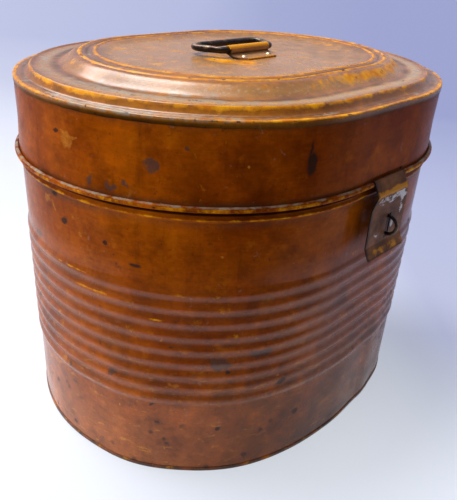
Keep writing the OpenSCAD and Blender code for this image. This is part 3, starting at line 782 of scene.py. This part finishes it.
insets = spaced((1.2, BEAD_FOOT, 18, COVE_LOW, COVE_TOP, DISH_RIM, DISH, 156.75),
                (5, 18, 7, 24, 30, 12, 14))
corner = ring((LID_EDGE - 1.2, RIM_Z - 1.2), 1.2, 0, 90, 6)[:-1]
fold = [[LID_EDGE - SHEET, RIM_Z - SHEET], [LID_EDGE - SHEET, RIM_Z - FOLD_H],
        [LID_EDGE - 0.1, RIM_Z - FOLD_H], [LID_EDGE, RIM_Z - FOLD_H + 0.3], [LID_EDGE, RIM_Z - 3]]
face = np.stack([LID_EDGE - insets, RIM_Z + top_h(insets)], 1)
under = face[1:] - [0, SHEET]
top = np.concatenate([under[::-1], fold, corner, face])
s, top_z = LID_EDGE - top[:, 0], top[:, 1]
outside = np.arange(len(top)) > len(under)
# On the top: gold rubbing on the rim, the beads, the strip, the cove and the panel; grimy hollows
# and a darker fold under the rim, with painted shade in them; painted black shade on the fold's
# outer face; a dusty layer, which on the strip and the cove also paints a pale reflected sheen; the
# tin showing
top_marks = {
    "wear_and_highlight": outside * (
        0.8 * ramp(top_z, 298.4, 299.3) * ramp(s, 4.5, 2) + 0.66 * bump(s, 14.0, 5.5)
        + 0.92 * bump(s, 52, 6) + 0.85 * bump(s, 61.5, 6) + 0.3 * bump(s, 44, 14)
        + 0.27 * ramp(s, 64, 70) + 0.2 * bump(s, 24, 16)),
    "grime_and_shade": outside * (
        0.9 * bump(s, 8, 6) + 0.8 * bump(s, 31, 10) + 0.8 * bump(s, 56.9, 4.4)
        + 0.6 * ramp(top_z, 298, 294)),
    "gap_shade": outside * 0.45 * ramp(top_z, 298.4, 296.4) * (s < 1),
    "dust_and_sheen": outside * (0.45 * ramp(s, 62, 72) + 0.5 * bump(s, 24, 18) + 0.3 * bump(s, 42, 16)),
    "bare": outside * (0.42 * bump(s, 24, 20) + 0.3 * bump(s, 7, 8) + 0.35 * bump(s, 56.9, 4)),
    "rim": outside * (top_z > 298.4) * (s < 5), "inset": s}


def on_top(cx, a, off, z):
    edge = wander(cx, a, np.full_like(z, 285.0), LID_DENTS) * ramp(off, -14, 0)
    edge = edge - left_end(a) * np.interp(LID_EDGE - off, PUSH_AT, PUSH_BY)
    x, y = cx + (END_R + off) * np.cos(a), (END_R + off) * np.sin(a)
    dz = sum(-d * np.exp(-((x - px) ** 2 + (y - py) ** 2) / w ** 2) for px, py, d, w in PANEL_DENTS)
    dz = dz * ramp(np.hypot(x / 1.4, y + 10), 34, 56) * ramp(off, -50, -60)
    rag = 0.3 * np.sin(a * 37 + 1) * np.sin(a * 23 + cx / 9) * ramp(z, 296.5, 295)
    return edge, dz + rag + 0.12 * np.sin(a * 5 + 0.6) * ramp(off, -30, -2) * ramp(off, 1, -2)


pts, faces, part, count = closed_oval(top, on_top)
x, y, _ = pts.T
marks = repeated(top_marks, top, count)
rim, s = marks.pop("rim"), marks.pop("inset")
shown = marks["dust_and_sheen"] > 0
# On the near side the rim, the strip and the cove show their tin and are painted with a pale sheen,
# the rim has less gold and the fold more painted shade
near = bump(bearing_of(x, y), 207, 96)
marks["wear_and_highlight"] += 0.46 * bump(s, 42, 22) * ramp(x, -70, 10) * shown - 0.34 * near * rim
marks["bare"] += near * (0.62 * rim + 0.5 * bump(s, 35, 24) * shown
                         + 0.36 * bump(s, 28, 14) * shown + 0.4 * bump(s, 7, 9) * (s > 4))
marks["gap_shade"] += 0.4 * near * (marks["gap_shade"] > 0.1)
# The panel is darker towards its right
marks["grime_and_shade"] += 0.4 * ramp(x, 10, 90) * (s > 64) * shown
for px, py, size in RUBBED:
    marks["wear_and_highlight"] += 0.55 * np.exp(-((x - px) ** 2 + (y - py) ** 2) / size ** 2) * shown
# More of the dusty layer and its painted sheen on the front of the strip and the cove
marks["dust_and_sheen"] += 0.5 * (bump(s, 26, 20) + 0.5 * bump(s, 40, 16)) * ramp(-y, 40, 100) * shown
piece("lid_panel", pts, faces, [TOP_LACQUER, INSIDE_TIN], "lid", ["lid_top"],
      marks, turn=LID_TURN, material_index=(part <= len(under)))

# Handle: a bar bent to a bail, held in a folded clip
HANDLE = LID_TURN @ Matrix.Translation((0, HANDLE_Y, HANDLE_Z))
FLARE_DEG, FOOT_R, CORNER_R, PIVOT, REACH, BAIL_R = 62, 6.0, 9.0, 52.0, 30.0, 2.8
FLARE = math.radians(FLARE_DEG)
limb = (REACH - FOOT_R * (1 - math.cos(FLARE)) - CORNER_R * (1 + math.cos(FLARE))) / math.sin(FLARE)
foot_arc = ring((PIVOT / 2, FOOT_R), FOOT_R, -90, FLARE_DEG - 90, 10)
limb_end = foot_arc[-1] + limb * np.array([math.cos(FLARE), math.sin(FLARE)])
corner_at = limb_end + CORNER_R * np.array([-math.sin(FLARE), math.cos(FLARE)])
corner_arc = ring(corner_at, CORNER_R, FLARE_DEG - 90, 90, 14)
limb_mid = foot_arc[-1] + (limb_end - foot_arc[-1]) * np.linspace(0.25, 0.75, 3)[:, None]
right_limb = np.concatenate([foot_arc, limb_mid, corner_arc])
grip = np.stack([np.linspace(corner_at[0], -corner_at[0], 12)[1:-1], np.full(10, REACH)], 1)
pivot_bar = np.stack([np.linspace(-PIVOT / 2, PIVOT / 2, 10)[1:-1], np.zeros(8)], 1)
loop = np.concatenate([right_limb, grip, (right_limb * [-1, 1])[::-1], pivot_bar])
loop = np.pad(loop, ((0, 0), (0, 1)))
k = np.arange(len(loop))
bail_r = BAIL_R - 0.05 - 0.07 * np.sin(k * 0.9) * np.sin(k * 0.37 + 1) * ramp(loop[:, 1], 5, 9)
BAIL_SIDES = 24
pts, faces = tube(loop, bail_r, (0, 0, 1), BAIL_SIDES, closed=True)
# Painted highlight along the top of the bar, strongest on the left limb
bail_highlight_and_wear = (np.clip(pts[:, 2] / BAIL_R, 0, 1) * (0.25 + 0.75 * ramp(-pts[:, 0], 27, 32))
             * ramp(np.repeat(loop[:, 1], BAIL_SIDES), 1, 5))
piece("bail", pts, faces, [IRON], "bail", ["handle_bail"], {"wear_and_highlight": bail_highlight_and_wear},
      sharp=60, turn=HANDLE)

CLIP_W, CLIP_L, CLIP_CUT, CLIP_STEPS, ROLL_END = 49.0, 18.0, 7.0, 24, 232.7
WITHIN_EDGES = 1  # tells delaunay_2d_cdt to leave out what lies outside the outline
clip_r = CLIP_IN + STRAP
foot_z, neck = -clip_r - CLIP_LIFT, 1.7 * clip_r
outer_roll = ring((0, 0), clip_r, -90, ROLL_END, 44)
flange_z, flange_y = foot_z + 2 * STRAP, 0.4 - CLIP_L
flange_top = fillet([outer_roll[-1], (-neck, flange_z), (flange_y, flange_z)], [2.5])
flange_low = fillet([(flange_y, foot_z), (-neck, foot_z), outer_roll[0]], [4.0])
mid = foot_z + STRAP
seam = [[-CLIP_L, mid + 0.4], [-CLIP_L, mid + 0.06], [-CLIP_L + 1.2, mid + 0.02],
        [-CLIP_L + 1.2, mid - 0.02], [-CLIP_L, mid - 0.06], [-CLIP_L, foot_z + 0.3]]
clip_outline = np.concatenate([outer_roll[:-1], dense(flange_top, 1.5), seam,
                               dense(flange_low, 1.5)[:-1]])


def clip_half(y):
    return CLIP_W / 2 - np.clip(-(CLIP_L - CLIP_CUT) - y, 0, CLIP_CUT)


def bar_of(outline):
    """A flat outline of (y, z) drawn out along x to both sides, as wide as the clip is there."""
    y, z = outline.T
    n = len(outline)
    pts = np.concatenate([np.stack([t * clip_half(y), y, z], 1)
                          for t in np.linspace(-1, 1, CLIP_STEPS + 1)])
    faces = [(j * n + i, j * n + (i + 1) % n, (j + 1) * n + (i + 1) % n, (j + 1) * n + i)
             for j in range(CLIP_STEPS) for i in range(n)]
    return pts, faces


def bridge(pts, rim, hole):
    """Triangles between an outline and the round hole in it, drawn in the plane of y and z."""
    order, n = rim + hole, len(rim)
    flat = [Vector((pts[i][1], pts[i][2])) for i in order]
    loops = range(n), range(n, len(order))
    edges = [(l[i], l[(i + 1) % len(l)]) for l in loops for i in range(len(l))]
    _, _, tris, origin, _, _ = delaunay_2d_cdt(flat, edges, [], WITHIN_EDGES, 1e-6)
    tris = [[origin[i][0] for i in t] for t in tris]
    return [tuple(order[i] for i in t) for t in tris if min(t) < n]


def clip_piece():
    """The clip: a tube round the bail that runs out into a doubled flange with cut corners."""
    bore = ring((0, 0), CLIP_IN, 0, 360, 40)[:-1]
    a, fa = bar_of(clip_outline)
    b, fb = bar_of(bore)
    n, m = len(clip_outline), len(bore)
    faces = fa + [tuple(len(a) + i for i in f) for f in fb]
    pts = np.concatenate([a, b])
    for j in (0, CLIP_STEPS):
        rim = [j * n + i for i in range(n)]
        hole = [len(a) + j * m + i for i in range(m)]
        faces += bridge(pts, rim, hole)
    x, y, z = pts.T
    # Gold painted light along the top of the roll and rubbing at the flange's end; painted shade
    # low on the roll and along the clip's left end
    wear_and_highlight = ramp(z, 0.2, 1.6) + 0.75 * ramp(-y, CLIP_L - 1.5, CLIP_L - 0.2)
    painted_shade = (0.5 * bump(z, -clip_r + 1.0, 2.5)
            + 0.9 * ramp(-x, CLIP_W / 2 - 2.5, CLIP_W / 2) * (z < 1))
    return pts, faces, {"wear_and_highlight": wear_and_highlight, "painted_shade": np.clip(painted_shade, 0, 0.9)}


pts, faces, marks = clip_piece()
piece("clip", pts, faces, [CLIP_TIN], "lid", ["handle_clip"], marks, sharp=40,
      turn=HANDLE)

# Hasp: a leaf rolled round the edge wire, with a slot for the staple and a flared lip
HASP_ROLL_HALF, HASP_LEFT, HASP_RIGHT, HASP_CUT, HASP_OUT = 22.0, -29.0, 24.0, 9.5, 7.0
BEND_DROP, FOLD_DROP, LIP_H, LIP_OUT = 8.7, 50.0, 9.5, 4.5
SLOT_HALF, SLOT_TOP, SLOT_LOW = 2.4, 27.0, 47.3
LIP_DROP = FOLD_DROP + LIP_H
leaf_in = HASP_OUT - STRAP
leave = math.degrees(math.atan2(-BEND_DROP, leaf_in)
                     + math.acos(ROLL_IN / math.hypot(leaf_in, BEND_DROP)))
roll = ring((0, 0), ROLL_IN, leave + 300, leave, 30)
drop = fillet([roll[-1], (leaf_in, -BEND_DROP), (leaf_in, -FOLD_DROP),
               (leaf_in + LIP_OUT, -LIP_DROP)], (1.2, 1.6))
leaf_path = dense(np.concatenate([roll, drop[1:]]), 2.5)
on_roll = np.arange(len(leaf_path)) < len(roll)
for h in (-SLOT_TOP, -SLOT_LOW):
    leaf_path[np.argmin(abs(leaf_path[:, 1] - h) + 99 * on_roll), 1] = h


def leaf_edges(up, k):
    if k < len(roll):
        return -HASP_ROLL_HALF, HASP_ROLL_HALF
    t = np.clip((-BEND_DROP - STRAP - up) / (HASP_CUT - STRAP), 0, 1)
    tip = 0.6 * ramp(-up, LIP_DROP - 1.2, LIP_DROP)
    return ((HASP_LEFT + HASP_ROLL_HALF) * t - HASP_ROLL_HALF + tip,
            (HASP_RIGHT - HASP_ROLL_HALF) * t + HASP_ROLL_HALF - tip)


pts, faces, edge = ribbon(leaf_path, leaf_edges, STRAP, 40,
                          (SLOT_HALF, -SLOT_LOW, -SLOT_TOP, len(roll)))
u, out, up = pts.T
leaf, at_slot = out > 4, (abs(abs(u) - SLOT_HALF) < 0.01) * (up < -26) * (up > -48)
# On the leaf: a gold painted highlight along the bend, rubbing along the edges and on the lip;
# white scuffs; painted shade round the slot, along the left edge, in the lip's curl and faintly
# over the middle
leaf_marks = {
    "wear_and_highlight": np.clip(1.3 * bump(up, 0.5 - BEND_DROP, 8) * leaf + 0.3 * edge
                    + 0.42 * ramp(-up, 50.5, 54), 0, 1),
    "scuff": leaf * (
        0.68 * ramp(-up, 10, 11.5) * ramp(-up, 20, 14) * ramp(u, -30, -18)
        + 0.6 * bump(u, 17, 9) * ramp(-up, 11, 15) * ramp(-up, 44, 30)
        + 0.6 * bump(u, -16, 14) * bump(up, -43, 9) + 0.95 * bump(u, 6, 10) * bump(up, -37, 16)),
    "painted_shade": np.clip(0.9 * at_slot + 0.9 * edge * (u < 0)
                    + 0.8 * ramp(-up, LIP_DROP - 2.0, LIP_DROP - 0.6)
                    + 0.3 * bump(u, 0, 24) * bump(up, -37, 34), 0, 0.9)}
piece("hasp", np.stack([u, -out, up], 1), faces, [HASP_TIN], "hasp", ["hasp_leaf"],
      leaf_marks, sharp=45, turn=LID_TURN @ Matrix.Translation((HASP_X, -PIN_Y, JOINT_Z)))

# Staple: a wire loop through the wall, clenched inside
STAPLE_R, LOOP_R, BEND_OFF, INSIDE = 1.5, 7.5, 11.4, 1.45
arc = ring((BEND_OFF, 0), LOOP_R, -90, 90, 24)
leg_out = np.array([-1.0, -0.9, -0.5, -0.1, 0, 0.05, 1.95, 6.45, 10.45]) - INSIDE
leg_r = np.array([1.5, 2.0, 2.4, 2.3, 1.9, 1.5, 1.5, 1.5, 1.5])
leg_low, leg_high = (np.stack([leg_out, np.full(len(leg_out), h)], 1) for h in (-LOOP_R, LOOP_R))
out, up = np.concatenate([leg_low, arc, leg_high[::-1]]).T
staple_r = np.concatenate([leg_r, np.full(len(arc), STAPLE_R - 0.04), leg_r[::-1]])
staple = np.stack([np.full(len(out), HASP_X), -END_R - out, STAPLE_Z + up], 1)
pts, faces = tube(staple, staple_r, (1, 0, 0), 18)
piece("staple_loop", pts, faces, [IRON], "body", ["staple"],
      {"wear_and_highlight": 0.35 * ramp(-pts[:, 1], END_R + 14, END_R + 20)}, sharp=50)

# Hinge strap: rolled round the edge wire at the back and riveted to the wall
HINGE_W, CRANK, CRANK_TOP, CRANK_LOW = 46.0, 1.9, 232.8, 228.6
STRAP_LOW, STRAP_TOP, SEAM = 190.6, 238.0, 0.05
strap = fillet([(SEAM, STRAP_LOW), (SEAM, CRANK_LOW), (CRANK, CRANK_TOP), (CRANK, STRAP_TOP)],
               (2.0, 2.0), 5)
strap_roll = ring((BEAD_OFF, JOINT_Z), ROLL_IN + STRAP - 0.02, 180, -120, 30)
strap_path = dense(np.concatenate([strap, strap_roll]), 3.0)[::-1]


def strap_edges(up, k):
    half = HINGE_W / 2 - 3.0 * ramp(up, STRAP_LOW + 3.0, STRAP_LOW) ** 1.5
    return -half, half


pts, faces, edge = ribbon(strap_path, strap_edges, STRAP - 0.01, 26)
u, out, up = pts.T
strap_wear = np.clip(0.55 * edge + 0.8 * ramp(up, 240, 243) + 0.5 * bump(up, CRANK_TOP, 6), 0, 1)
piece("hinge", np.stack([u, END_R + out, up], 1), faces, [HASP_TIN], "body", ["hinge_strap"],
      {"wear_and_highlight": strap_wear}, sharp=45)

# Solids that are right as they are get their finish
FINISH = {"body_rim_wire": WIRE, "handle_rivets": RIVET_TIN, "handle_burrs": INSIDE_TIN,
          "staple_plate": INSIDE_TIN, "hinge_rivets": RIVET_TIN, "hinge_burrs": INSIDE_TIN}
for node, mat in FINISH.items():
    for material_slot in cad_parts[node].material_slots:
        material_slot.material = mat

# Stage: a pale cloth that ends a little way in front of the box, light from above and the left
VIEW = Vector((0.741, 0.672, 0)).normalized()
SIDE = Vector((0.672, -0.741, 0)).normalized()
FLOOR_NEAR, FLOOR_FAR, FLOOR_HALF = -0.4, 6.0, 5.0
PLAIN_SHARE = 0.6
near_end, far_end, beside = VIEW * FLOOR_NEAR, VIEW * FLOOR_FAR, SIDE * FLOOR_HALF
mesh = bpy.data.meshes.new("floor")
mesh.from_pydata([near_end - beside, near_end + beside, far_end + beside, far_end - beside], [],
                 [(0, 1, 2, 3)])
floor = bpy.data.objects.new("floor", mesh)
bpy.context.scene.collection.objects.link(floor)
g = Nodes(bpy.data.materials.new("floor"))
where = g.place()
ahead, across = g.reach(where, VIEW), g.reach(where, SIDE)
shade = g.maths("ADD", g.between(ahead, 0.0, 1.2, 0.0, 0.8),
                g.between(across, -0.3, 0.5, 0.0, 0.35), clamp=True)
cloth = g.blend(shade, tone(238, 242, 255), tone(146, 150, 190))
g.feed(g.shader.inputs["Base Color"], cloth)
g.shader.inputs["Roughness"].default_value = 0.9
# Painted light on the plain cloth: darker towards the back and the right, a painted shadow beside
# the box on the right, and whiter on the left
fan = g.maths("DIVIDE", across, g.most(g.plus(ahead, 0.75), 0.2))
painted_falloff_and_shadow = g.most(g.times(g.between(ahead, 0.05, 1.1), g.between(fan, -0.45, 0.2, 0.65, 1.0)),
             g.times(g.between(across, 0.1, 0.27, 0.0, 0.9), g.between(ahead, -0.19, 0.04)))
plain = g.blend(painted_falloff_and_shadow, tone(242, 248, 255), tone(140, 148, 190))
left = g.times(g.between(across, 0.0, -0.4, 0.0, 0.7), g.between(ahead, 2.0, 0.2))
plain = g.blend(left, plain, (1.0, 1.0, 1.0, 1.0))
# Shiny surfaces and the camera see the cloth partly plain, which keeps its shadows pale
rays = g.put("LightPath").node.outputs
seen = g.most(rays["Is Camera Ray"], g.most(rays["Is Glossy Ray"], rays["Is Transmission Ray"]))
glow = g.put("Emission", {"Color": plain, "Strength": 1.0})
mixed = g.put("MixShader", {0: g.times(seen, PLAIN_SHARE), 1: g.shader.outputs[0], 2: glow})
g.feed(g.tree.nodes["Material Output"].inputs["Surface"], mixed)
mesh.materials.append(g.owner)


def sun(name, way, strength, angle, in_mirrors=True, on_surfaces=True):
    lamp = bpy.data.lights.new(name, "SUN")
    lamp.energy, lamp.angle = strength, math.radians(angle)
    obj = bpy.data.objects.new(name, lamp)
    obj.rotation_mode = "QUATERNION"
    obj.rotation_quaternion = Vector(way).to_track_quat("Z", "Y")
    obj.visible_glossy, obj.visible_diffuse = in_mirrors, on_surfaces
    bpy.context.scene.collection.objects.link(obj)


sun("window_above", (-0.1, 0.4, 0.9), 2.7, 27)
sun("window_behind", (-0.04, 0.74, 0.67), 1.5, 27, on_surfaces=False)
sun("window_overhead", (0.02, 0.17, 0.98), 0.9, 27, on_surfaces=False)
sun("window_left", (-0.82, 0.36, 0.3), 1.45, 50, in_mirrors=False)

# The room: lighter behind the box, for shiny surfaces and, further to the left, for dull ones
world = bpy.data.worlds.new("studio")
bpy.context.scene.world = world
g = Nodes(world)
sky = g.tree.nodes["Background"]
facing = g.put("TexCoord", output="Generated")
low = g.between(g.axes(facing)[2], -0.3, 0.15, 0.5, 1.0)
lit_from = (VIEW - 0.8 * SIDE).normalized()
on_shiny = g.times(g.between(g.reach(facing, VIEW), -0.3, 0.7, 0.15, 1.0), low)
on_dull = g.times(g.between(g.reach(facing, lit_from), -0.5, 0.7, 0.22, 1.0), low)
rays = g.put("LightPath").node.outputs
shiny = g.most(rays["Is Glossy Ray"], rays["Is Transmission Ray"])
seen = rays["Is Camera Ray"]
colour = g.blend(g.most(seen, shiny), (0.95, 0.99, 1.1, 1.0), tone(190, 195, 218))
g.feed(sky.inputs["Color"], colour)
strength = g.put("Mix", {0: shiny, 2: on_dull, 3: on_shiny})
g.feed(sky.inputs["Strength"], g.put("Mix", {0: seen, 2: strength, 3: 1.0}))

# Camera at the photo's viewing angle
CAMERA_AT = (-0.388728, -0.355810, 0.398357)
CAMERA_RIGHT, CAMERA_UP = Vector((0.69335, -0.71823, 0.05835)), Vector((0.30362, 0.36461, 0.88027))
CAMERA_BACK = Vector((-0.65351, -0.59262, 0.47088))
cam = bpy.data.cameras.new("camera")
cam.lens, cam.sensor_width, cam.sensor_fit = 41.63, 36.0, "AUTO"
cam.clip_start = 0.01
camera = bpy.data.objects.new("camera", cam)
bpy.context.scene.collection.objects.link(camera)
turn = Matrix((CAMERA_RIGHT, CAMERA_UP, CAMERA_BACK)).transposed().to_4x4()
camera.matrix_world = Matrix.Translation(CAMERA_AT) @ turn
bpy.context.scene.camera = camera
bpy.context.scene.view_settings.view_transform = "Standard"
